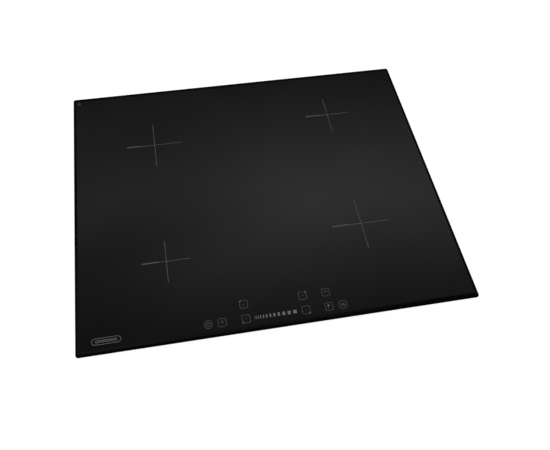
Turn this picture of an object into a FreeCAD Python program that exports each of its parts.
"""A built-in induction hob with four cooking zones, as an assembly of its real pieces.

The frame: +X to the cook's right, +Y away from the cook, +Z up, in millimetres. The origin is the middle of
the underside, at the height of the tray's floor. A bevelled glass plate is bonded to a steel frame, the frame
is screwed to a steel tray, and the tray holds two power modules with their blowers, a sprung aluminium plate
with four coils, the touch controls and the mains terminals. Four swinging clamps with jack screws hold the
hob in its worktop.
"""

import FreeCAD, Part

import math
import operator
import os

import Sketcher

Vector = FreeCAD.Vector

DIMENSIONS = {
    # Glass plate and what bonds and seals it
    "glass_width": 600,
    "glass_depth": 510,
    "glass_thickness": 4,
    "glass_face": 58,
    "glass_corner": 4,
    "bevel_drop": 1.6,
    "side_bevel": 5,
    "front_bevel": 7,
    "adhesive_thickness": 1,
    "seal_thickness": 3,
    "seal_width": 5.5,
    "seal_inset": 2,
    # Steel frame and tray
    "sheet": 1,
    "body_width": 550,
    "body_depth": 482,
    "flange_reach": 6,
    "skirt_height": 15,
    "tray_gap": 0.2,
    "tray_rim": 51,
    "ledge_under": 26,
    "deep_width": 500,
    "front_slope": 12,
    "bead_width": 8,
    "bead_length": 150,
    "bead_depth": 0.6,
    "bead_space": 30,
    "bead_middle": -10,
    "well_lap": 4,
    "vent_width": 3,
    "vent_length": 7,
    "vent_pitch": 6,
    "grille_slot": 2.6,
    "screw_shank": 1.9,
    "screw_head": 3.7,
    "screw_head_height": 2.2,
    "frame_screw_height": 45,
    # Coil plate on its springs
    "plate_width": 536,
    "plate_front": -190,
    "plate_back": 232,
    "plate_under": 40,
    "plate_thickness": 1.5,
    "plate_screw_x": 262,
    "sensor_opening": 12,
    "lead_window": 16,
    "spring_radius": 4,
    "spring_wire": 0.5,
    # Coils
    "left_zone_x": -161.5,
    "right_zone_x": 155,
    "rear_left_y": 122,
    "front_left_y": -118.5,
    "rear_right_y": 149,
    "front_right_y": -96.5,
    "large_coil": 94,
    "small_coil": 74,
    "inner_turn": 31,
    "litz_radius": 2,
    "turn_pitch": 4.1,
    "former_thickness": 2,
    "former_hub": 15,
    "former_rim": 2,
    "ferrite_height": 4,
    "ferrite_width": 14,
    "ferrite_start": 30,
    "mica_thickness": 1.5,
    "sensor_radius": 6,
    # Power modules
    "module_x": 135,
    "sink_offset": 16,
    "board_width": 216,
    "board_front": -160,
    "board_back": 56,
    "board_under": 8,
    "board_thickness": 1.6,
    "insulation": 0.5,
    "insulation_apron": 25,
    "post_inset": 8,
    "standoff_radius": 3.5,
    "sink_width": 64,
    "sink_front": -140,
    "sink_back": 54,
    "sink_height": 26,
    "sink_base": 5,
    "sink_wall": 4,
    "fin_thickness": 1.6,
    "fin_pitch": 7,
    # Blowers
    "blower_y": 122,
    "blower_radius": 48,
    "blower_mouth": 58,
    "blower_height": 26,
    "blower_wall": 2,
    "blower_inlet": 32,
    "impeller_radius": 39,
    "impeller_inner": 31,
    "impeller_low": 4,
    "impeller_high": 22,
    "impeller_plate": 1.5,
    "blade_thickness": 1.2,
    "blade_lean": 3,
    "motor_radius": 13,
    "motor_low": 11,
    "hub_radius": 16,
    "hub_wall": 2,
    "hub_low": 7,
    "shaft_radius": 1.5,
    "shaft_play": 0.05,
    # Touch controls
    "panel_x": -10.5,
    "panel_width": 240,
    "panel_front": -238,
    "panel_back": -199,
    "panel_under": 36,
    "panel_rim": 52,
    "panel_wall": 1.5,
    "touch_board_under": 46,
    "key_radius": 3.5,
    "lower_keys_y": -232.5,
    "upper_keys_y": -211,
    "ribbon_x": 50,
    "ribbon_width": 14,
    "ribbon_thickness": 0.8,
    # Mains terminals
    "terminal_x": 180,
    "terminal_y": 206,
    "terminal_width": 100,
    "terminal_depth": 56,
    "terminal_height": 26,
    "terminal_wall": 2,
    "terminal_pitch": 13,
    "terminal_block_depth": 22,
    "terminal_block_height": 16,
    "terminal_recess": 4,
    "terminal_recess_depth": 6,
    "cover_front": 180,
    "cover_gap": 0.6,
    "cover_lift": 0.2,
    "cover_thickness": 2,
    "hinge_y": 183.5,
    "hinge_z": 4,
    "hinge_pin": 1.3,
    "hinge_play": 0.05,
    "ear": 3,
    "cable_z": 14,
    "saddle_length": 8,
    "saddle_bolt_x": 12,
    "gland_bore": 5.5,
    "gland_body": 8,
    "gland_flange": 11,
    "gland_flange_thickness": 3,
    # Worktop clamps
    "clamp_x": 264,
    "clamp_y": 170,
    "clamp_sheet": 2,
    "clamp_width": 18,
    "clamp_gap": 0.3,
    "clamp_web": 12,
    "clamp_reach": 36,
    "clamp_arm_under": 8.5,
    "pivot_radius": 2.45,
    "pivot_hole": 2.5,
    "pivot_head": 4.2,
    "pivot_head_height": 2.2,
    "pivot_nut": 4.6,
    "pivot_nut_height": 4,
    "jack_place": 27,
    "jack_radius": 2.42,
    "jack_bottom": 1,
    "jack_cap": 4,
    "jack_cap_under": 11,
    "jack_cap_height": 3,
    # Chokes and wiring
    "choke_radius": 13,
    "choke_section": 6,
    "lead_drop": 34,
    "coil_lead": 1.8,
    "mains_lead": 1.4,
    "fan_lead": 1.2,
}


class Size:
    """A length or angle that carries its expression for the document beside its value."""

    def __init__(self, text, value):
        self.text = text
        self.value = value

    def __add__(self, other):
        return combine(self, "+", other)

    def __radd__(self, other):
        return combine(other, "+", self)

    def __sub__(self, other):
        return combine(self, "-", other)

    def __rsub__(self, other):
        return combine(other, "-", self)

    def __mul__(self, other):
        return combine(self, "*", other)

    def __rmul__(self, other):
        return combine(other, "*", self)

    def __truediv__(self, other):
        return combine(self, "/", other)

    def __neg__(self):
        return combine(0, "-", self)


WORK = {"+": operator.add, "-": operator.sub, "*": operator.mul, "/": operator.truediv}


def size(thing):
    """Anything as a Size, a bare number included."""
    return thing if isinstance(thing, Size) else Size(f"({thing})", float(thing))


def combine(left, sign, right):
    left, right = size(left), size(right)
    return Size(f"({left.text} {sign} {right.text})", WORK[sign](left.value, right.value))


def cosine(angle):
    return Size(f"cos({size(angle).text})", math.cos(math.radians(size(angle).value)))


def sine(angle):
    return Size(f"sin({size(angle).text})", math.sin(math.radians(size(angle).value)))


document = FreeCAD.newDocument("induction_hob")
sheet_object = document.addObject("Spreadsheet::Sheet", "Dims")
for row, (alias, amount) in enumerate(DIMENSIONS.items(), 1):
    sheet_object.set(f"A{row}", alias)
    sheet_object.set(f"B{row}", str(amount))
    sheet_object.setAlias(f"B{row}", alias)
document.recompute()


class Sheet:
    """The spreadsheet's dimensions, each read as an attribute."""


d = Sheet()
for alias in DIMENSIONS:
    setattr(d, alias, Size(f"Dims.{alias}", float(sheet_object.get(alias))))

# Heights that the dimensions stack up to.
d.glass_under = d.glass_face - d.glass_thickness
d.flange_top = d.glass_under - d.adhesive_thickness
d.ledge_top = d.ledge_under + d.sheet
d.plate_top = d.plate_under + d.plate_thickness
d.former_under = d.plate_top + d.ferrite_height
d.former_top = d.former_under + d.former_thickness
d.mica_under = d.glass_under - d.mica_thickness
d.board_top = d.board_under + d.board_thickness
d.touch_board_top = d.touch_board_under + d.board_thickness
d.blower_top = d.sheet + d.blower_height
d.terminal_roof = d.sheet + d.terminal_height
d.clamp_top = d.ledge_under - d.clamp_gap
# Outsides and insides of the tray.
d.tray_width = d.body_width - 2 * (d.sheet + d.tray_gap)
d.tray_depth = d.body_depth - 2 * (d.sheet + d.tray_gap)
d.tray_front = -d.tray_depth / 2
d.tray_back = d.tray_depth / 2

SIDES = (("left", -1), ("right", 1))
ZONES = (  # name, centre, radius of the outer turn, ferrite bars
    ("rear_left", (d.left_zone_x, d.rear_left_y), d.large_coil, 8),
    ("front_left", (d.left_zone_x, d.front_left_y), d.small_coil, 6),
    ("rear_right", (d.right_zone_x, d.rear_right_y), d.small_coil, 6),
    ("front_right", (d.right_zone_x, d.front_right_y), d.large_coil, 8),
)
CLAMPS = (("front_left", -1, -1), ("front_right", 1, -1), ("rear_left", -1, 1), ("rear_right", 1, 1))
FRAME_SCREW_ROW = (-150, 150)
PLATE_SCREW_ROW = (-120, 0, 120)
UPPER_KEYS = (-55.5, 34, 69.5)
LOWER_KEYS = (-111, -90.5, -55.5, 34.5, 69.5, 90.5)
SLIDER_KEYS = (-37, -23.5, -10, 3.5, 17)
DIGITS = (-38, -20, -2, 16)
BOARD_CORNERS = ((-1, 0), (-1, 1), (1, 0), (1, 1))
GRILLE_RINGS = ((8, 16, 10), (19, 31, 20))  # inner and outer radius, slots
BEAD_ROWS = (-60, 60)
LEAD_WINDOWS = ((-150, -60), (60, 170))  # front and back of each opening in the coil plate
VENTS = 15
BLADES = 30
FINS = 7
TERMINALS = 5
COVER_RIBS = (-30, 0, 30)
MAINS_ROWS = (200, 206, 212)
FILTER_LEADS = ((5, -45), (9.5, -38), (15, 38), (19.5, 45))  # x at the filter and at the power boards
# Parts on a power board. Their places are across from the module's middle and along the hob.
TRANSISTORS = ((-95, -20), 5, 16, 21)  # places along the heatsink, thickness, width, height
FILM_CAPACITORS = ((70, -118), (70, -84), (70, -50))
FILM_CAPACITOR = (42, 26, 24)  # width, depth, height
POWER_BLOCKS = (  # place, then width, depth and height
    ((70, 0), (30, 22, 16)),
    ((-80, -66), (28, 14, 16)),
    ((-80, -34), (28, 14, 16)),
    ((-80, 10), (36, 36, 22)),
)
POWER_CAN = ((70, 34), 11, 25)  # place, radius, height
POWER_CHOKE = (-80, -110)
# Parts on the filter board, placed along the hob's own axes.
FILTER_BOARD = ((2, 120), (186, 232))
FILTER_CHOKE = (32, 209)
FILTER_BLOCKS = (((69, 206), (18, 32, 20)), ((91, 209), (14, 34, 18)))
FILTER_CAN = ((103, 200), 4, 14)
FILTER_POSTS = ((8, 190), (8, 228), (114, 190), (114, 228))

nodes = []


# ------------------------------------------------------------ documents' objects


def bind(thing, **sizes):
    """Binds properties to sizes; in a name, two underscores stand for a dot."""
    for name, amount in sizes.items():
        thing.setExpression(name.replace("__", "."), size(amount).text)
    return thing


def move(thing, x, y, z):
    return bind(thing, Placement__Base__x=x, Placement__Base__y=y, Placement__Base__z=z)


def around(middle, width):
    """The (low, high) pair of a stretch of that width about its middle."""
    return middle - width / 2, middle + width / 2


def block(x, y, z):
    """A box, given the (low, high) pair of each side."""
    thing = document.addObject("Part::Box", "Block")
    bind(thing, Length=x[1] - x[0], Width=y[1] - y[0], Height=z[1] - z[0])
    return move(thing, x[0], y[0], z[0])


def rod(radius, x, y, z):
    """A cylinder along the one axis that is given as a (low, high) pair."""
    thing = document.addObject("Part::Cylinder", "Rod")
    if isinstance(x, tuple):
        span, base = x, (x[0], y, z)
        thing.Placement.Rotation = FreeCAD.Rotation(Vector(0, 1, 0), 90)
    elif isinstance(y, tuple):
        span, base = y, (x, y[0], z)
        thing.Placement.Rotation = FreeCAD.Rotation(Vector(1, 0, 0), -90)
    else:
        span, base = z, (x, y, z[0])
    bind(thing, Radius=radius, Height=span[1] - span[0])
    return move(thing, *base)


def spoke(x, y, angle, start, length, width, z):
    """A box that points away from (x, y) at an angle."""
    thing = document.addObject("Part::Box", "Spoke")
    bind(thing, Length=length, Width=width, Height=z[1] - z[0], Placement__Rotation__Angle=angle)
    along, across = size(start), width / 2
    corner_x = x + along * cosine(angle) + across * sine(angle)
    corner_y = y + along * sine(angle) - across * cosine(angle)
    return move(thing, corner_x, corner_y, z[0])


def fuse(*shapes):
    thing = document.addObject("Part::MultiFuse", "Fused")
    thing.Shapes = list(shapes)
    return thing


def cut(base, *tools):
    thing = document.addObject("Part::Cut", "Cut")
    thing.Base = base
    thing.Tool = tools[0] if len(tools) == 1 else fuse(*tools)
    return thing


def group(shapes):
    """Separate solids that share one node."""
    thing = document.addObject("Part::Compound", "Group")
    thing.Links = list(shapes)
    return thing


def tube(outer, inner, x, y, z):
    return cut(rod(outer, x, y, z), rod(inner, x, y, z))


def ring(width, depth, wall, z):
    """A rectangular frame about the origin."""
    outer = block(around(0, width), around(0, depth), z)
    return cut(outer, block(around(0, width - 2 * wall), around(0, depth - 2 * wall), z))


def node(thing, label):
    """Keeps a finished piece under the name that its file gets."""
    thing.Label = label
    nodes.append(thing)
    return thing


def round_lead(route, radius):
    """A wire along straight runs joined by tangent arcs, each as large as its runs allow."""
    places = [Vector(*[size(amount).value for amount in point]) for point in route]
    edges = []
    start = places[0]
    for before, corner, after in zip(places, places[1:], places[2:]):
        into = (corner - before).normalize()
        out = (after - corner).normalize()
        setback = 0.45 * min(corner.distanceToPoint(before), corner.distanceToPoint(after))
        half_turn = into.getAngle(out) / 2
        bend = setback / math.tan(half_turn)
        middle = corner + (out - into).normalize() * bend * (1 / math.cos(half_turn) - 1)
        first, last = corner - into * setback, corner + out * setback
        edges.append(Part.LineSegment(start, first).toShape())
        edges.append(Part.Arc(first, middle, last).toShape())
        start = last
    edges.append(Part.LineSegment(start, places[-1]).toShape())
    section = Part.Wire(Part.Circle(places[0], places[1] - places[0], size(radius).value).toShape())
    thing = document.addObject("Part::Feature", "Lead")
    thing.Shape = Part.Wire(edges).makePipeShell([section], True, True)
    return thing


# ------------------------------------------------------------ PartDesign


def body_of(label):
    """An empty PartDesign body, kept as a node."""
    return node(document.addObject("PartDesign::Body", "Body"), label)


def sketch_in(body, plane="XY_Plane", x=0, y=0, z=0):
    """A sketch on one of the body's own planes, shifted in the plane's x and y and along its normal."""
    sketch = body.newObject("Sketcher::SketchObject", "Sketch")
    sketch.AttachmentSupport = [(next(f for f in body.Origin.OriginFeatures if f.Role == plane), "")]
    sketch.MapMode = "FlatFace"
    offset = {"AttachmentOffset__Base__x": x, "AttachmentOffset__Base__y": y, "AttachmentOffset__Base__z": z}
    return bind(sketch, **offset)


def dimension(sketch, name, kind, places, amount):
    """One named dimension of a sketch, bound to its size."""
    place = sketch.addConstraint(Sketcher.Constraint(kind, *places, size(amount).value))
    sketch.renameConstraint(place, name)
    sketch.setExpression(f"Constraints.{name}", size(amount).text)


def polygon(sketch, points):
    """A closed outline through points measured from the sketch's origin."""
    corners = [Vector(size(across).value, size(up).value, 0) for across, up in points]
    first, count = sketch.GeometryCount, len(corners)
    for k in range(count):
        sketch.addGeometry(Part.LineSegment(corners[k], corners[(k + 1) % count]), False)
    for k in range(count):
        sketch.addConstraint(Sketcher.Constraint("Coincident", first + k, 2, first + (k + 1) % count, 1))
    for k, (across, up) in enumerate(points):
        dimension(sketch, f"across_{first + k}", "DistanceX", (-1, 1, first + k, 1), across)
        dimension(sketch, f"up_{first + k}", "DistanceY", (-1, 1, first + k, 1), up)
    return sketch


def rectangle(sketch, x, y):
    """A rectangle, given the (low, high) pair of each side."""
    return polygon(sketch, [(x[0], y[0]), (x[1], y[0]), (x[1], y[1]), (x[0], y[1])])


def circles(sketch, *radii):
    """Circles about the sketch's origin."""
    for radius in radii:
        k = sketch.addGeometry(Part.Circle(Vector(0, 0, 0), Vector(0, 0, 1), size(radius).value), False)
        sketch.addConstraint(Sketcher.Constraint("Coincident", k, 3, -1, 1))
        dimension(sketch, f"radius_{k}", "Radius", (k,), radius)
    return sketch


def circle_at(sketch, x, y, radius):
    centre = Vector(size(x).value, size(y).value, 0)
    k = sketch.addGeometry(Part.Circle(centre, Vector(0, 0, 1), size(radius).value), False)
    dimension(sketch, f"across_{k}", "DistanceX", (-1, 1, k, 3), x)
    dimension(sketch, f"up_{k}", "DistanceY", (-1, 1, k, 3), y)
    dimension(sketch, f"radius_{k}", "Radius", (k,), radius)
    return sketch


def extrude(kind, sketch, length, midplane):
    body = sketch.getParentGeoFeatureGroup()
    feature = body.newObject(f"PartDesign::{kind}", kind)
    feature.Profile = sketch
    feature.Midplane = midplane
    return bind(feature, Length=length)


def pad(sketch, length, midplane=False):
    """Adds the sketch's area, along its plane's normal."""
    return extrude("Pad", sketch, length, midplane)


def pocket(sketch, length, midplane=False):
    """Takes the sketch's area away, against its plane's normal."""
    return extrude("Pocket", sketch, length, midplane)


def row_of(feature, axis, length, count):
    """A row of the feature along one of its sketch's axes."""
    sketch = feature.Profile[0]
    body = sketch.getParentGeoFeatureGroup()
    pattern = body.newObject("PartDesign::LinearPattern", "Row")
    pattern.Originals = [feature]
    pattern.Direction = (sketch, [axis])
    pattern.Occurrences = count
    bind(pattern, Length=length)
    body.Tip = pattern
    return pattern


def turn_of(feature, count):
    """The feature repeated in a full turn about its sketch's origin."""
    sketch = feature.Profile[0]
    body = sketch.getParentGeoFeatureGroup()
    pattern = body.newObject("PartDesign::PolarPattern", "Turn")
    pattern.Originals = [feature]
    pattern.Axis = (sketch, ["N_Axis"])
    pattern.Angle = 360
    pattern.Occurrences = count
    body.Tip = pattern
    return pattern


def edge_feature(kind, body, pick, **sizes):
    """A Fillet or Chamfer on the edges of the body's tip that pick chooses."""
    document.recompute()
    tip = body.Tip
    names = [f"Edge{k}" for k, edge in enumerate(tip.Shape.Edges, 1) if pick(edge)]
    feature = body.newObject(f"PartDesign::{kind}", kind)
    feature.Base = (tip, names)
    return bind(feature, **sizes)


def is_upright(edge):
    return max(edge.BoundBox.XLength, edge.BoundBox.YLength) < 0.01


# ------------------------------------------------------------ screws


def pan_head_screw(x, y, z, head_high):
    """A cross-recessed screw along the axis given as a (low, high) pair, which spans its shank."""
    places = [x, y, z]
    axis = next(k for k in range(3) if isinstance(places[k], tuple))
    face = places[axis][1] if head_high else places[axis][0]
    outer = face + d.screw_head_height if head_high else face - d.screw_head_height
    recess = face + d.screw_head_height * 0.4 if head_high else face - d.screw_head_height * 0.4
    shank = rod(d.screw_shank, *places)
    places[axis] = (face, outer) if head_high else (outer, face)
    head = rod(d.screw_head, *places)
    slots = []
    for across in [k for k in range(3) if k != axis]:
        sides = [around(places[k], d.screw_head * 0.25) if k != axis else None for k in range(3)]
        sides[across] = around(places[across], d.screw_head * 1.2)
        sides[axis] = (recess, outer) if head_high else (outer, recess)
        slots.append(block(*sides))
    return fuse(shank, cut(head, *slots))


# ------------------------------------------------------------ glass, bond and seal


def make_glass():
    """The plate, with a ground bevel all round that is wider along the front."""
    body = body_of("glass_top")
    outline = sketch_in(body, z=d.glass_under)
    rectangle(outline, around(0, d.glass_width), around(0, d.glass_depth))
    pad(outline, d.glass_thickness)
    edge_feature("Fillet", body, is_upright, Radius=d.glass_corner)
    over = 3
    for plane, edge, inward, bevel, length in (
        ("YZ_Plane", -d.glass_depth / 2, 1, d.front_bevel, d.glass_width),
        ("YZ_Plane", d.glass_depth / 2, -1, d.side_bevel, d.glass_width),
        ("XZ_Plane", -d.glass_width / 2, 1, d.side_bevel, d.glass_depth),
        ("XZ_Plane", d.glass_width / 2, -1, d.side_bevel, d.glass_depth),
    ):
        slope = d.bevel_drop / bevel
        outside = edge - inward * over
        inside = edge + inward * (bevel + over)
        foot = d.glass_face - d.bevel_drop - slope * over
        crest = d.glass_face + slope * over
        wedge = polygon(sketch_in(body, plane), [(outside, foot), (inside, crest), (outside, crest)])
        pocket(wedge, length + 20, midplane=True)


def make_bond_and_seal():
    reach = 2 * d.flange_reach
    bond = ring(d.body_width + reach, d.body_depth + reach, d.flange_reach, (d.flange_top, d.glass_under))
    node(bond, "glass_adhesive")
    inset = 2 * d.seal_inset
    seal_under = d.glass_under - d.seal_thickness
    seal = ring(d.glass_width - inset, d.glass_depth - inset, d.seal_width, (seal_under, d.glass_under))
    node(seal, "foam_seal")


# ------------------------------------------------------------ frame and tray


def make_frame():
    """An L-section ring: a skirt around the tray's rim and a flange under the glass."""
    body = body_of("support_frame")
    skirt_under = d.flange_top - d.skirt_height
    skirt = sketch_in(body, z=skirt_under)
    rectangle(skirt, around(0, d.body_width), around(0, d.body_depth))
    pad(skirt, d.skirt_height)
    flange = sketch_in(body, z=d.flange_top - d.sheet)
    reach = 2 * d.flange_reach
    rectangle(flange, around(0, d.body_width + reach), around(0, d.body_depth + reach))
    pad(flange, d.sheet)
    inside = sketch_in(body, z=d.flange_top)
    rectangle(inside, around(0, d.body_width - 2 * d.sheet), around(0, d.body_depth - 2 * d.sheet))
    pocket(inside, d.skirt_height + 1)
    drill_frame_holes(body, d.screw_shank + 0.2)


def drill_frame_holes(body, radius):
    """Holes for the frame screws, through both long sides and both short ones."""
    for plane in ("YZ_Plane", "XZ_Plane"):
        holes = sketch_in(body, plane)
        for place in FRAME_SCREW_ROW:
            circle_at(holes, place, d.frame_screw_height, radius)
        pocket(holes, d.body_width + 20, midplane=True)


def make_frame_screws():
    inner = 4
    screws = []
    for place in FRAME_SCREW_ROW:
        for half, along_x in ((d.body_width / 2, True), (d.body_depth / 2, False)):
            for sign in (-1, 1):
                span = (half - inner - d.sheet, half) if sign > 0 else (-half, -half + inner + d.sheet)
                x, y = (span, place) if along_x else (place, span)
                screws.append(pan_head_screw(x, y, d.frame_screw_height, sign > 0))
    node(group(screws), "frame_screws")


def make_tray():
    """A sheet steel tray: a wide rim, ledges at both sides, and a deep middle whose front slopes."""
    body = body_of("base_tray")
    rim = sketch_in(body, z=d.ledge_under)
    rectangle(rim, around(0, d.tray_width), around(0, d.tray_depth))
    pad(rim, d.tray_rim - d.ledge_under)
    well_top = d.ledge_under + d.well_lap
    well = [
        (d.tray_front, well_top),
        (d.tray_front, d.ledge_under),
        (d.tray_front + d.front_slope, 0),
        (d.tray_back, 0),
        (d.tray_back, well_top),
    ]
    pad(polygon(sketch_in(body, "YZ_Plane"), well), d.deep_width, midplane=True)
    inside = sketch_in(body, z=d.tray_rim)
    rectangle(inside, around(0, d.tray_width - 2 * d.sheet), around(0, d.tray_depth - 2 * d.sheet))
    pocket(inside, d.tray_rim - d.ledge_top)
    slanted_wall = d.sheet * 1.1
    hollow = [
        (d.tray_front + d.sheet, well_top),
        (d.tray_front + d.sheet, d.ledge_under + 0.2 * d.sheet),
        (d.tray_front + d.front_slope * (1 - d.sheet / d.ledge_under) + slanted_wall, d.sheet),
        (d.tray_back - d.sheet, d.sheet),
        (d.tray_back - d.sheet, well_top),
    ]
    pocket(polygon(sketch_in(body, "YZ_Plane"), hollow), d.deep_width - 2 * d.sheet, midplane=True)
    cut_tray_openings(body)
    drill_frame_holes(body, d.screw_shank)


def cut_tray_openings(body):
    """Air outlets, blower grilles, clamp and cable holes and the opening under the terminals."""
    for _, side in SIDES:
        middle = side * d.module_x - d.sink_offset
        first = middle - (VENTS - 1) / 2 * d.vent_pitch
        slot = sketch_in(body, x=first, y=d.tray_front + d.front_slope / 2 - 0.5, z=d.ledge_under)
        rectangle(slot, around(0, d.vent_width), around(0, d.vent_length))
        row_of(pocket(slot, d.ledge_under + 1), "H_Axis", (VENTS - 1) * d.vent_pitch, VENTS)
        for start, end, count in GRILLE_RINGS:
            grille = sketch_in(body, x=side * d.module_x, y=d.blower_y, z=d.sheet)
            rectangle(grille, (start, end), around(0, d.grille_slot))
            turn_of(pocket(grille, 2 * d.sheet), count)
    holes = sketch_in(body, z=d.ledge_top)
    for _, side, rank in CLAMPS:
        circle_at(holes, side * d.clamp_x, rank * d.clamp_y, d.pivot_hole + 0.1)
    for side in (-1, 1):
        for place in PLATE_SCREW_ROW:
            circle_at(holes, side * d.plate_screw_x, place, d.screw_shank)
    pocket(holes, 2 * d.sheet)
    terminals = sketch_in(body, z=d.sheet)
    rectangle(terminals, around(d.terminal_x, d.terminal_width), around(d.terminal_y, d.terminal_depth))
    pocket(terminals, 2 * d.sheet)
    # The XZ plane's normal points to -Y, so a pocket from the back wall's inside runs out through it.
    cable = sketch_in(body, "XZ_Plane", z=-(d.tray_back - 2 * d.sheet))
    circle_at(cable, d.terminal_x, d.cable_z, d.gland_body + 0.1)
    pocket(cable, 4 * d.sheet)
    # Four shallow beads pressed into the floor's underside.
    beads = sketch_in(body, z=d.bead_depth)
    for place in (-1, 1):
        low = d.bead_middle + place * (d.bead_length + d.bead_space) / 2 - d.bead_length / 2
        for x in BEAD_ROWS:
            rectangle(beads, around(x, d.bead_width), (low, low + d.bead_length))
    pocket(beads, d.bead_depth + 1)


# ------------------------------------------------------------ coil plate and coils


def make_coil_plate():
    body = body_of("coil_plate")
    outline = sketch_in(body, z=d.plate_under)
    rectangle(outline, around(0, d.plate_width), (d.plate_front, d.plate_back))
    pad(outline, d.plate_thickness)
    openings = sketch_in(body, z=d.plate_top)
    for _, (x, y), outer, _ in ZONES:
        circle_at(openings, x, y, d.sensor_opening)
    for side in (-1, 1):
        for place in PLATE_SCREW_ROW:
            circle_at(openings, side * d.plate_screw_x, place, d.screw_shank + 0.6)
        for window in LEAD_WINDOWS:
            rectangle(openings, around(side * d.lead_drop, d.lead_window), window)
    pocket(openings, d.plate_thickness + 1)


def make_plate_mounts():
    springs, screws = [], []
    for side in (-1, 1):
        for place in PLATE_SCREW_ROW:
            x, y = side * d.plate_screw_x, place
            outer, inner = d.spring_radius + d.spring_wire, d.spring_radius - d.spring_wire
            springs.append(tube(outer, inner, x, y, (d.ledge_top, d.plate_under)))
            screws.append(pan_head_screw(x, y, (d.ledge_under - 2, d.plate_top + 0.2), True))
    node(group(springs), "plate_springs")
    node(group(screws), "plate_screws")


def make_coils():
    ferrites, micas, sensors = [], [], []
    for name, (x, y), outer, bars in ZONES:
        rim = outer + d.litz_radius + 0.2 + d.former_rim
        hub_hole = d.former_hub - d.former_rim
        former = fuse(
            tube(rim, 4, x, y, (d.former_under, d.former_top)),
            tube(rim, rim - d.former_rim, x, y, (d.former_under, d.mica_under)),
            tube(d.former_hub, hub_hole, x, y, (d.former_under, d.mica_under)),
        )
        node(former, f"coil_former_{name}")
        turns = int((outer - d.inner_turn).value / d.turn_pitch.value) + 1
        winding = []
        for k in range(turns):
            torus = document.addObject("Part::Torus", "LitzTurn")
            bind(torus, Radius1=outer - k * d.turn_pitch, Radius2=d.litz_radius)
            winding.append(move(torus, x, y, d.former_top + d.litz_radius + 0.05))
        node(group(winding), f"coil_winding_{name}")
        length = outer - 6 - d.ferrite_start
        for k in range(bars):
            angle = 360 / bars * (k + 0.5)
            height = (d.plate_top, d.former_under)
            ferrites.append(spoke(x, y, angle, d.ferrite_start, length, d.ferrite_width, height))
        micas.append(tube(rim, hub_hole, x, y, (d.mica_under, d.glass_under)))
        sensors.append(rod(d.sensor_radius, x, y, (d.former_top, d.glass_under)))
    node(group(ferrites), "ferrite_bars")
    node(group(micas), "mica_discs")
    node(group(sensors), "temperature_sensors")


# ------------------------------------------------------------ power modules


def stand(place, base, sizes):
    """A component's block: its place in plan, what it stands on, and its width, depth and height."""
    width, depth, height = sizes
    return block(around(place[0], width), around(place[1], depth), (base, base + height))


def choke(x, y, base):
    """A wound ring that lies on a board."""
    thing = document.addObject("Part::Torus", "Choke")
    bind(thing, Radius1=d.choke_radius, Radius2=d.choke_section)
    return move(thing, x, y, base + d.choke_section)


def make_power_modules():
    insulation_top = d.sheet + d.insulation
    sheet_y = (d.board_front - d.insulation_apron, d.board_back)
    node(block(around(0, d.deep_width - 10), sheet_y, (d.sheet, insulation_top)), "insulation_sheet")
    standoffs, transistors, capacitors, parts = [], [], [], []
    for name, side in SIDES:
        x = side * d.module_x
        board = block(around(x, d.board_width), (d.board_front, d.board_back), (d.board_under, d.board_top))
        node(board, f"power_board_{name}")
        for across, back in BOARD_CORNERS:
            post_x = x + across * (d.board_width / 2 - d.post_inset)
            post_y = d.board_back - d.post_inset if back else d.board_front + d.post_inset
            standoffs.append(rod(d.standoff_radius, post_x, post_y, (insulation_top, d.board_under)))
        sink_x = x - d.sink_offset
        node(heatsink(sink_x), f"heatsink_{name}")
        transistors += transistors_on(sink_x)
        for across, y in FILM_CAPACITORS:
            capacitors.append(stand((x + across, y), d.board_top, FILM_CAPACITOR))
        for (across, y), sizes in POWER_BLOCKS:
            parts.append(stand((x + across, y), d.board_top, sizes))
        (across, y), radius, height = POWER_CAN
        parts.append(rod(radius, x + across, y, (d.board_top, d.board_top + height)))
        parts.append(choke(x + POWER_CHOKE[0], POWER_CHOKE[1], d.board_top))
    node(group(standoffs), "board_standoffs")
    node(group(transistors), "power_transistors")
    node(group(capacitors), "film_capacitors")
    node(group(parts), "board_components")


def transistors_on(sink_x):
    """The power transistors, flat against the outsides of a heatsink's walls, just above the board."""
    places, thickness, width, height = TRANSISTORS
    low = d.board_top + 2
    made = []
    for face in (-1, 1):
        wall = sink_x + face * d.sink_width / 2
        span = (wall - thickness, wall) if face < 0 else (wall, wall + thickness)
        made += [block(span, around(y, width), (low, low + height)) for y in places]
    return made


def heatsink(x):
    """An extrusion: a base, two thick walls and thin fins between them, open along Y."""
    low, high = d.board_top, d.board_top + d.sink_height
    base = block(around(x, d.sink_width), (d.sink_front, d.sink_back), (low, low + d.sink_base))
    pieces = [base]
    for face in (-1, 1):
        wall = around(x + face * (d.sink_width - d.sink_wall) / 2, d.sink_wall)
        pieces.append(block(wall, (d.sink_front, d.sink_back), (low, high)))
    for k in range(FINS):
        place = x + (k - (FINS - 1) / 2) * d.fin_pitch
        pieces.append(block(around(place, d.fin_thickness), (d.sink_front, d.sink_back), (low, high - 1)))
    return fuse(*pieces)


# ------------------------------------------------------------ blowers


def make_blowers():
    motors = []
    for name, side in SIDES:
        x, y = side * d.module_x, d.blower_y
        make_blower_housing(f"blower_housing_{name}", x, y)
        make_impeller(f"blower_impeller_{name}", x, y)
        ceiling = d.blower_top - d.blower_wall
        shaft = rod(d.shaft_radius, x, y, (d.hub_low - 0.5, d.motor_low))
        motors.append(fuse(rod(d.motor_radius, x, y, (d.motor_low, ceiling)), shaft))
    node(group(motors), "blower_motors")


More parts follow.
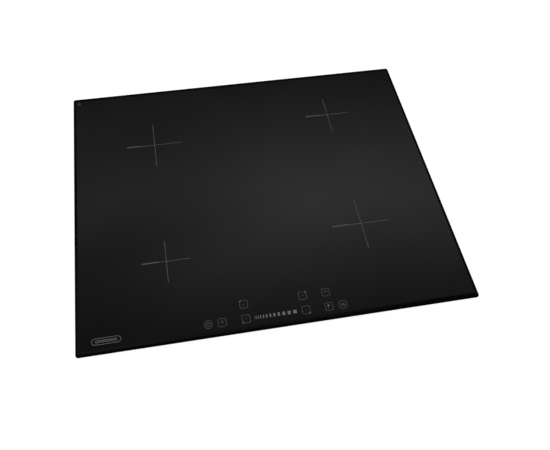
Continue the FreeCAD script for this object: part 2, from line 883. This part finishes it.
def make_blower_housing(label, x, y):
    """A scroll housing that draws air in from below and blows it out to the front."""
    body = body_of(label)
    radius, wall = d.blower_radius, d.blower_wall
    side = d.sink_offset + d.sink_width / 2
    mouth = d.blower_mouth - y
    pad(circles(sketch_in(body, x=x, y=y, z=d.sheet), radius), d.blower_height)
    spout = sketch_in(body, x=x, y=y, z=d.sheet)
    rectangle(spout, (-side, d.sink_width - side), (mouth, 0))
    pad(spout, d.blower_height)
    ceiling, hollow = d.blower_top - wall, d.blower_height - 2 * wall
    pocket(circles(sketch_in(body, x=x, y=y, z=ceiling), radius - wall), hollow)
    inside = sketch_in(body, x=x, y=y, z=ceiling)
    rectangle(inside, (wall - side, d.sink_width - side - wall), (mouth - 1, 0))
    pocket(inside, hollow)
    pocket(circles(sketch_in(body, x=x, y=y, z=d.sheet + wall), d.blower_inlet), 2 * wall)


def make_impeller(label, x, y):
    """A wheel of forward-leaning blades under a plate, on a cup that covers the motor."""
    body = body_of(label)
    plate_under = d.impeller_high - d.impeller_plate
    pad(circles(sketch_in(body, x=x, y=y, z=plate_under), d.impeller_radius), d.impeller_plate)
    pad(circles(sketch_in(body, x=x, y=y, z=d.hub_low), d.hub_radius), d.impeller_high - d.hub_low)
    cup_depth = d.impeller_high - d.hub_low - d.hub_wall
    pocket(circles(sketch_in(body, x=x, y=y, z=d.impeller_high), d.hub_radius - d.hub_wall), cup_depth)
    bore = circles(sketch_in(body, x=x, y=y, z=d.hub_low + d.hub_wall), d.shaft_radius + d.shaft_play)
    pocket(bore, 2 * d.hub_wall)
    blade = sketch_in(body, x=x, y=y, z=d.impeller_low)
    half, lean = d.blade_thickness / 2, d.blade_lean
    root, tip = d.impeller_inner, d.impeller_radius - 0.5
    polygon(blade, [(root, -half), (tip, lean - half), (tip, lean + half), (root, half)])
    turn_of(pad(blade, plate_under - d.impeller_low + 0.5), BLADES)
    shroud = circles(sketch_in(body, x=x, y=y, z=d.impeller_low), d.impeller_radius, d.impeller_radius - 2)
    pad(shroud, d.impeller_plate)


# ------------------------------------------------------------ touch controls


def make_controls():
    wall, gap = d.panel_wall, 0.2
    x = around(d.panel_x, d.panel_width)
    inner_x = (x[0] + wall, x[1] - wall)
    inner_y = (d.panel_front + wall, d.panel_back - wall)
    shell = block(x, (d.panel_front, d.panel_back), (d.panel_under, d.panel_rim))
    hollow = block(inner_x, inner_y, (d.panel_under + wall, d.panel_rim))
    ribbon_x = around(d.ribbon_x, d.ribbon_width + 2)
    ribbon_way = block(ribbon_x, (d.panel_back - 14, d.panel_back - 8), (d.panel_under, d.panel_under + wall))
    legs, posts = [], []
    for side in (-1, 1):
        for leg_y in (-222, -203):
            leg_x = d.panel_x + side * (d.panel_width / 2 - 18)
            legs.append(rod(3, leg_x, leg_y, (d.sheet, d.panel_under)))
            posts.append(rod(3, leg_x, leg_y, (d.panel_under + wall, d.touch_board_under)))
    node(fuse(cut(shell, hollow, ribbon_way), *legs, *posts), "control_carrier")
    board_x = (inner_x[0] + gap, inner_x[1] - gap)
    board_y = (inner_y[0] + gap, inner_y[1] - gap)
    node(block(board_x, board_y, (d.touch_board_under, d.touch_board_top)), "control_board")
    key_height = (d.touch_board_top, d.glass_under)
    keys = [(place, d.upper_keys_y) for place in UPPER_KEYS]
    keys += [(place, d.lower_keys_y) for place in LOWER_KEYS + SLIDER_KEYS]
    node(group([rod(d.key_radius, place, y, key_height) for place, y in keys]), "touch_foams")
    height = (d.touch_board_top, d.glass_under - 1)
    digits = [block(around(place, 12), around(d.upper_keys_y, 15), height) for place in DIGITS]
    digits.append(block(around(92, 22), around(d.upper_keys_y, 15), height))
    node(group(digits), "displays")
    make_ribbon()


def make_ribbon():
    """A flat cable from the touch board down to the right-hand power board."""
    body = body_of("control_ribbon")
    thick, back = d.ribbon_thickness, d.panel_back - 11
    low, end = d.board_top + 4, d.board_front + 10
    band = [
        (back, d.touch_board_under),
        (back, low),
        (end - thick, low),
        (end - thick, d.board_top),
        (end, d.board_top),
        (end, low + thick),
        (back + thick, low + thick),
        (back + thick, d.touch_board_under),
    ]
    # The YZ plane's normal is +X.
    pad(polygon(sketch_in(body, "YZ_Plane", z=d.ribbon_x - d.ribbon_width / 2), band), d.ribbon_width)


# ------------------------------------------------------------ mains terminals


def make_terminals():
    wall = d.terminal_wall
    x, y = around(d.terminal_x, d.terminal_width), around(d.terminal_y, d.terminal_depth)
    shell = block((x[0] - wall, x[1] + wall), (y[0] - wall, y[1] + wall), (d.sheet, d.terminal_roof))
    hollow = block(x, y, (d.sheet, d.terminal_roof - wall))
    pin_hole = rod(d.hinge_pin + d.hinge_play, (x[0] - wall, x[1] + wall), d.hinge_y, d.hinge_z)
    cable_hole = rod(d.gland_body + 0.1, d.terminal_x, (y[1] - 1, y[1] + wall), d.cable_z)
    wire_way = block((x[0] - wall, x[0]), around(d.terminal_y, 22), (d.board_top + 1, d.board_top + 9))
    node(cut(shell, hollow, pin_hole, cable_hole, wire_way), "terminal_housing")
    roof = d.terminal_roof - wall
    block_under = roof - d.terminal_block_height
    recess = (block_under, block_under + d.terminal_recess_depth)
    screws, recesses = [], []
    for k in range(TERMINALS):
        place = d.terminal_x + (k - (TERMINALS - 1) / 2) * d.terminal_pitch
        recesses.append(rod(d.terminal_recess, place, d.terminal_y, recess))
        screws.append(pan_head_screw(place, d.terminal_y, (block_under + 3, recess[1]), False))
    block_x = around(d.terminal_x, TERMINALS * d.terminal_pitch + 5)
    solid_block = block(block_x, around(d.terminal_y, d.terminal_block_depth), (block_under, roof))
    node(cut(solid_block, *recesses), "terminal_block")
    node(group(screws), "terminal_screws")
    make_cover(x, y)
    make_cable_entry(y[1])


def make_cover(x, y):
    """A flap in the tray's floor, on two pins that turn in the housing's side walls."""
    body = body_of("terminal_cover")
    gap = d.cover_gap
    flap = sketch_in(body, z=d.cover_lift)
    rectangle(flap, (x[0] + gap, x[1] - gap), (d.cover_front, y[1] - gap))
    pad(flap, d.cover_thickness)
    for face in (-1, 1):
        inner = x[0] + gap if face < 0 else x[1] - gap - d.ear
        knuckle = sketch_in(body, "YZ_Plane", x=d.hinge_y, z=inner)
        half = d.hinge_pin + 1.2
        rectangle(knuckle, (-half, half), (d.cover_lift + 1, d.hinge_z + half))
        pad(knuckle, d.ear)
        start = inner - gap - d.terminal_wall if face < 0 else inner
        pin = sketch_in(body, "YZ_Plane", x=d.hinge_y, z=start)
        circle_at(pin, 0, d.hinge_z, d.hinge_pin)
        pad(pin, d.ear + gap + d.terminal_wall)
    rib = sketch_in(body, z=d.cover_lift + 1)
    for place in COVER_RIBS:
        rectangle(rib, around(d.terminal_x + place, 1.5), (d.cover_front + 8, y[1] - gap - 8))
    pad(rib, d.cover_thickness + 1)


def make_cable_entry(wall_inside):
    """The gland in the back walls, and the clamp that grips the cable inside."""
    x, z = d.terminal_x, d.cable_z
    body = rod(d.gland_body, x, (wall_inside - 3, d.tray_back), z)
    flange = rod(d.gland_flange, x, (d.tray_back, d.tray_back + d.gland_flange_thickness), z)
    length = (wall_inside - 3, d.tray_back + d.gland_flange_thickness)
    node(cut(fuse(body, flange), rod(d.gland_bore, x, length, z)), "cable_gland")
    roof = d.terminal_roof - d.terminal_wall
    saddle_y = (wall_inside - 5 - d.saddle_length, wall_inside - 5)
    low, foot = z - d.gland_bore - 2.5, 7
    bolt_places = [x + side * d.saddle_bolt_x for side in (-1, 1)]
    feet = [block(around(place, foot), saddle_y, (z, roof)) for place in bolt_places]
    saddle = block(around(x, 2 * d.saddle_bolt_x + foot), saddle_y, (low, z))
    way = rod(d.gland_bore, x, saddle_y, z)
    middle = saddle_y[0] + d.saddle_length / 2
    bolts = [pan_head_screw(place, middle, (low, low + 1), False) for place in bolt_places]
    node(fuse(cut(fuse(saddle, *feet), way), *bolts), "cable_clamp")


def make_filter():
    """The mains filter's board on its posts, with a choke, two capacitors and a small can."""
    node(block(*FILTER_BOARD, (d.board_under, d.board_top)), "filter_board")
    parts = [choke(*FILTER_CHOKE, d.board_top)]
    parts += [stand(place, d.board_top, sizes) for place, sizes in FILTER_BLOCKS]
    place, radius, height = FILTER_CAN
    parts.append(rod(radius, *place, (d.board_top, d.board_top + height)))
    parts += [rod(d.standoff_radius, *place, (d.sheet, d.board_under)) for place in FILTER_POSTS]
    node(group(parts), "filter_components")


# ------------------------------------------------------------ worktop clamps


def make_clamps():
    pivots = []
    for name, side, rank in CLAMPS:
        x, y = side * d.clamp_x, rank * d.clamp_y
        make_clamp_bracket(f"clamp_bracket_{name}", x, y, -rank)
        make_jack_screw(f"clamp_screw_{name}", x, y - rank * d.jack_place)
        head_top = d.clamp_top - d.clamp_sheet - d.clamp_gap
        shank = rod(d.pivot_radius, x, y, (head_top, d.ledge_top + 5))
        head_under = head_top - d.pivot_head_height
        head = rod(d.pivot_head, x, y, (head_under, head_top))
        slot = block(around(x, 1.2), around(y, 9), (head_under, head_under + 1))
        nut = document.addObject("Part::Prism", "Nut")
        nut.Polygon = 6
        bind(nut, Circumradius=d.pivot_nut, Height=d.pivot_nut_height)
        move(nut, x, y, d.ledge_top)
        pivots.append(fuse(shank, cut(head, slot), nut))
    node(group(pivots), "clamp_pivots")


def make_clamp_bracket(label, x, y, way):
    """A Z-shaped strip: a tab on the pivot, a web down, and an arm with the jack screw's thread."""
    body = body_of(label)
    half, thick = d.clamp_width / 2, d.clamp_sheet
    tab_under = d.clamp_top - thick
    pad(circles(sketch_in(body, x=x, y=y, z=tab_under), half), thick)
    web_end = d.clamp_web + thick
    for (near, far), low, high in (
        ((0, web_end), tab_under, d.clamp_top),
        ((d.clamp_web, web_end), d.clamp_arm_under, d.clamp_top),
        ((d.clamp_web, d.clamp_reach), d.clamp_arm_under, d.clamp_arm_under + thick),
    ):
        strip = sketch_in(body, x=x, y=y, z=low)
        stretch = (way * near, way * far) if way > 0 else (way * far, way * near)
        rectangle(strip, (-half, half), stretch)
        pad(strip, high - low)
    pocket(circles(sketch_in(body, x=x, y=y, z=d.clamp_top), d.pivot_hole), 2 * thick)
    thread = sketch_in(body, x=x, y=y + way * d.jack_place, z=d.clamp_arm_under + thick)
    pocket(circles(thread, d.pivot_hole), 2 * thick)


def make_jack_screw(label, x, y):
    """A slotted stud with a round foot that presses up on the worktop's underside."""
    stud = rod(d.jack_radius, x, y, (d.jack_bottom, d.jack_cap_under))
    slot = block(around(x, 1), around(y, 6), (d.jack_bottom, d.jack_bottom + 1.5))
    foot = rod(d.jack_cap, x, y, (d.jack_cap_under, d.jack_cap_under + d.jack_cap_height))
    node(fuse(cut(stud, slot), foot), label)


# ------------------------------------------------------------ wiring


def bridge(start, end, foot, level):
    """A route that rises from one place, crosses at a level and comes down at another."""
    return [(*start, foot), (*start, level), (*end, level), (*end, foot)]


def make_wiring():
    """Leads from the coils, the mains terminals, the filter and the blowers to their boards."""
    coil_leads = []
    for (_, (x, y), outer, _), side in zip(ZONES, (-1, -1, 1, 1)):
        rim = outer + d.litz_radius + 0.2 + d.former_rim
        height, drop = d.former_top + d.litz_radius + 0.5, side * d.lead_drop
        for offset in (-8, 8):
            row = y + offset
            route = [(x - side * rim, row, height), (drop, row, height), (drop, row, d.board_top)]
            coil_leads.append(round_lead(route, d.coil_lead))
    node(group(coil_leads), "coil_leads")
    mains_leads = []
    block_end, landing, level = d.terminal_x - 35, 113, d.board_top + 6
    for y in MAINS_ROWS:
        route = [(block_end, y, level), (landing, y, level), (landing, y, d.board_top)]
        mains_leads.append(round_lead(route, d.mains_lead))
    for start, end in FILTER_LEADS:
        route = bridge((start, 190), (end, d.board_back - 5), d.board_top, d.board_top + 15)
        mains_leads.append(round_lead(route, d.mains_lead))
    node(group(mains_leads), "mains_wires")
    fan_leads = []
    level = d.plate_under - 5
    for _, side in SIDES:
        for offset in (0, 4):
            start = (side * d.module_x + 18 + offset, d.blower_y - 12)
            end = (side * d.module_x + 38 + offset, d.board_back - 6)
            route = bridge(start, end, d.blower_top, level)
            route[-1] = (*end, d.board_top)
            fan_leads.append(round_lead(route, d.fan_lead))
    node(group(fan_leads), "fan_wires")


# ------------------------------------------------------------ the whole hob


def check_objects():
    """Stops if any object of the document failed, or a node has no sound shape."""
    for thing in document.Objects:
        if {"Invalid", "Error"} & set(thing.State):
            raise RuntimeError(f"{thing.Name} ({thing.Label}) did not recompute: {thing.State}")
    for thing in nodes:
        if thing.Shape.isNull() or not thing.Shape.isValid() or not thing.Shape.Solids:
            raise RuntimeError(f"{thing.Label} has no sound solid")


make_glass()
make_bond_and_seal()
make_frame()
make_frame_screws()
make_tray()
make_coil_plate()
make_plate_mounts()
make_coils()
make_power_modules()
make_blowers()
make_controls()
make_terminals()
make_filter()
make_clamps()
make_wiring()
document.recompute()
check_objects()

os.makedirs("parts", exist_ok=True)
for thing in nodes:
    thing.Shape.exportStep(f"parts/{thing.Label}.step")
    print(f"{thing.Label}: {len(thing.Shape.Solids)} solids, {thing.Shape.Volume / 1000:.1f} cm3")
